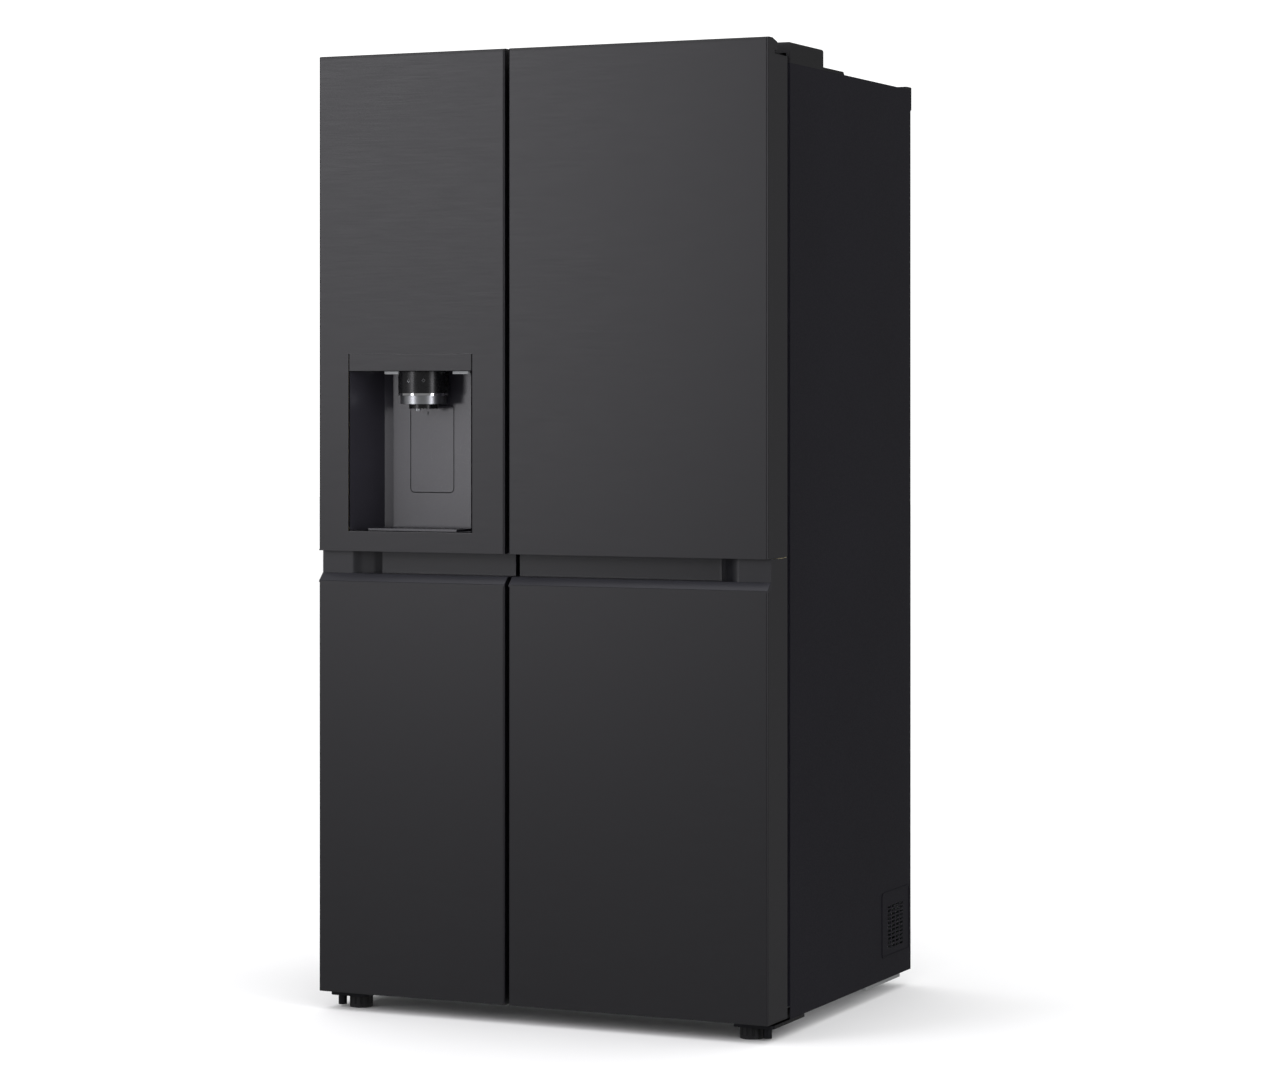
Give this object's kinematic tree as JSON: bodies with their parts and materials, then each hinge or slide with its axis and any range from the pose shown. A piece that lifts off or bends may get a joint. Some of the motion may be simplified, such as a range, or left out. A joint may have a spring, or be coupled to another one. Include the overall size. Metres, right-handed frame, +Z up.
{
  "type": "side-by-side refrigerator",
  "caption": "Side-by-side refrigerator with tall freezer and fridge doors, recessed finger pockets and an ice and water dispenser in the freezer door",
  "frame": {"origin": "on the floor under the middle of the overall box", "axes": "+Z up, the doors' fronts face -Y, +X to the right of someone facing the doors"},
  "size_m": [0.913, 0.735, 1.79],
  "materials": {
    "charcoal_steel": "satin",
    "black_case_paint": "satin",
    "galvanised_steel": "satin",
    "black_plastic": "matte",
    "pocket_plastic": "satin",
    "gloss_black_plastic": "gloss",
    "dispenser_plastic": "satin",
    "white_liner": "satin",
    "insulation": "matte",
    "gasket_rubber": "matte",
    "clear_plastic": "gloss",
    "shelf_glass": "gloss",
    "bright_ring": "polished",
    "satin_silver": "satin",
    "black_steel": "satin",
    "hinge_steel": "satin",
    "coil_aluminium": "satin",
    "roller_plastic": "matte",
    "grey_plastic": "matte"
  },
  "bodies": {
    "cabinet": {"air_ducts": "grey_plastic", "auger_motor": "grey_plastic", "back_panel": "galvanised_steel", "base_frame": "hinge_steel", "case_bottom": "galvanised_steel", "case_foam": "insulation", "case_wrapper": "black_case_paint", "compressor": "black_steel", "compressor_tray": "galvanised_steel", "condenser": "coil_aluminium", "corner_bumpers": "black_plastic", "evaporator": "coil_aluminium", "fan_motor": "grey_plastic", "freezer_liner": "white_liner", "fridge_liner": "white_liner", "front_frame": "galvanised_steel", "glass_shelves": "shelf_glass", "hinge_covers": "black_plastic", "ice_bin": "clear_plastic", "ice_maker": "grey_plastic", "lower_hinges": "hinge_steel", "machine_room_cover": "galvanised_steel", "roller_axles": "hinge_steel", "top_cover": "black_plastic", "upper_hinges": "hinge_steel", "water_valve": "grey_plastic"},
    "freezer_door": {"freezer_door_baskets": "clear_plastic", "freezer_door_caps": "black_plastic", "freezer_door_foam": "insulation", "freezer_door_gasket": "gasket_rubber", "freezer_door_liner": "white_liner", "freezer_door_lower_panel": "charcoal_steel", "freezer_door_pocket": "pocket_plastic", "freezer_door_upper_panel": "charcoal_steel", "dispenser_housing": "dispenser_plastic", "dispenser_trim": "gloss_black_plastic", "dispenser_head": "gloss_black_plastic", "dispenser_ring": "bright_ring", "dispenser_collar": "satin_silver", "water_nozzle": "satin_silver", "drip_tray": "dispenser_plastic"},
    "fridge_door": {"fridge_door_baskets": "clear_plastic", "fridge_door_caps": "black_plastic", "fridge_door_foam": "insulation", "fridge_door_gasket": "gasket_rubber", "fridge_door_liner": "white_liner", "fridge_door_lower_panel": "charcoal_steel", "fridge_door_pocket": "pocket_plastic", "fridge_door_upper_panel": "charcoal_steel"},
    "left_foot": {"left_foot": "black_plastic"},
    "right_foot": {"right_foot": "black_plastic"},
    "left_roller": {"left_roller": "roller_plastic"},
    "right_roller": {"right_roller": "roller_plastic"},
    "condenser_fan": {"condenser_fan": "grey_plastic"},
    "ice_auger": {"ice_auger": "grey_plastic"},
    "dispenser_paddle": {"dispenser_paddle": "dispenser_plastic"},
    "lower_freezer_drawer": {"lower_freezer_drawer": "clear_plastic"},
    "upper_freezer_drawer": {"upper_freezer_drawer": "clear_plastic"},
    "lower_crisper": {"lower_crisper": "clear_plastic"},
    "upper_crisper": {"upper_crisper": "clear_plastic"}
  },
  "joints": [
    {"name": "freezer_door_hinge", "type": "hinge", "parent": "cabinet", "child": "freezer_door", "pos_m": [-0.4345, -0.3155, 0.9], "axis": [0, 0, -1], "range_deg": [0, 110]},
    {"name": "fridge_door_hinge", "type": "hinge", "parent": "cabinet", "child": "fridge_door", "pos_m": [0.4345, -0.3155, 0.9], "axis": [0, 0, 1], "range_deg": [0, 110]},
    {"name": "lower_freezer_drawer_slide", "type": "slide", "parent": "cabinet", "child": "lower_freezer_drawer", "axis": [0, -1, 0], "range_m": [0, 0.183]},
    {"name": "upper_freezer_drawer_slide", "type": "slide", "parent": "cabinet", "child": "upper_freezer_drawer", "axis": [0, -1, 0], "range_m": [0, 0.183]},
    {"name": "lower_crisper_slide", "type": "slide", "parent": "cabinet", "child": "lower_crisper", "axis": [0, -1, 0], "range_m": [0, 0.183]},
    {"name": "upper_crisper_slide", "type": "slide", "parent": "cabinet", "child": "upper_crisper", "axis": [0, -1, 0], "range_m": [0, 0.183]},
    {"name": "dispenser_paddle_hinge", "type": "hinge", "parent": "freezer_door", "child": "dispenser_paddle", "pos_m": [-0.263, -0.2725, 1.124], "axis": [1, 0, 0], "range_deg": [0, 8], "stiffness_Nm_per_rad": 1, "springref_deg": -8.02},
    {"name": "left_foot_screw", "type": "slide", "parent": "cabinet", "child": "left_foot", "axis": [0, 0, -1], "range_m": [0, 0.01]},
    {"name": "right_foot_screw", "type": "slide", "parent": "cabinet", "child": "right_foot", "axis": [0, 0, -1], "range_m": [0, 0.01]},
    {"name": "left_roller_spin", "type": "hinge", "parent": "cabinet", "child": "left_roller", "pos_m": [-0.375, 0.29, 0.022], "axis": [1, 0, 0], "continuous": true},
    {"name": "right_roller_spin", "type": "hinge", "parent": "cabinet", "child": "right_roller", "pos_m": [0.375, 0.29, 0.022], "axis": [1, 0, 0], "continuous": true},
    {"name": "condenser_fan_spin", "type": "hinge", "parent": "cabinet", "child": "condenser_fan", "pos_m": [-0.095, 0.266, 0.132], "axis": [1, 0, 0], "continuous": true},
    {"name": "ice_auger_spin", "type": "hinge", "parent": "cabinet", "child": "ice_auger", "pos_m": [-0.24938, 0, 1.384], "axis": [0, 1, 0], "continuous": true}
  ],
  "couplings": [
    {"joint": "lower_freezer_drawer_slide", "follows": "freezer_door_hinge", "m_per_rad": 0.095},
    {"joint": "upper_freezer_drawer_slide", "follows": "freezer_door_hinge", "m_per_rad": 0.095},
    {"joint": "lower_crisper_slide", "follows": "fridge_door_hinge", "m_per_rad": 0.095},
    {"joint": "upper_crisper_slide", "follows": "fridge_door_hinge", "m_per_rad": 0.095}
  ]
}
